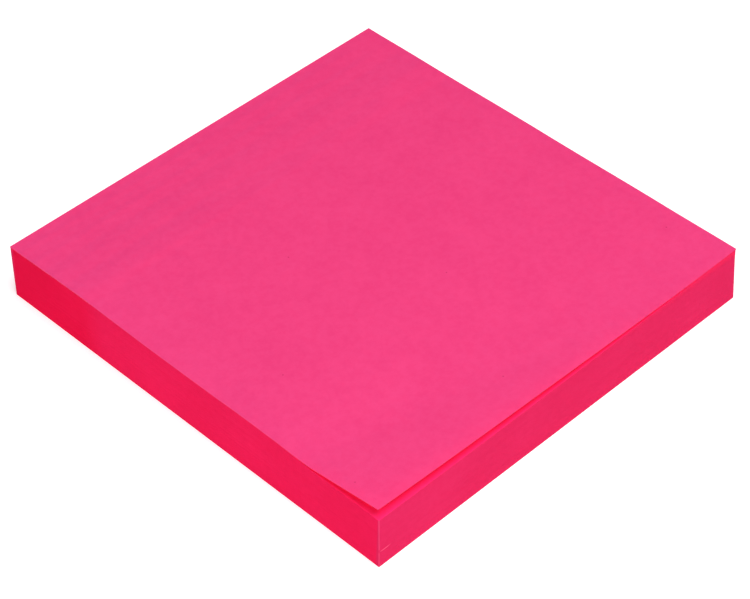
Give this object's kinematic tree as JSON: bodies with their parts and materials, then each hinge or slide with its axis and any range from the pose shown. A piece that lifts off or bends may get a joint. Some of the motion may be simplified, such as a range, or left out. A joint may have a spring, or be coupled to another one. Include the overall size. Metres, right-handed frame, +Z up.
{
  "type": "sticky note pad",
  "caption": "Square pad of plain bright pink adhesive notes, with the top sheet lifted along its free edge and highest at one corner.",
  "frame": {"origin": "on the surface that the pad rests on, under the middle of the pad", "axes": "+Z up through the stack; +Y towards the glued edge, so that the free edge is at -Y; the top sheet is lifted highest at the corner of -X and -Y"},
  "size_m": [0.0762, 0.0764, 0.0111],
  "materials": {
    "pink_paper": "uncoated fluorescent pink paper, matt",
    "adhesive_film": "thin clear low-tack adhesive coating, so it shows the pink paper through it"
  },
  "bodies": {
    "root": {"sheet_stack": "pink_paper", "adhesive_strip": "adhesive_film", "top_sheet": "pink_paper"}
  },
  "joints": []
}
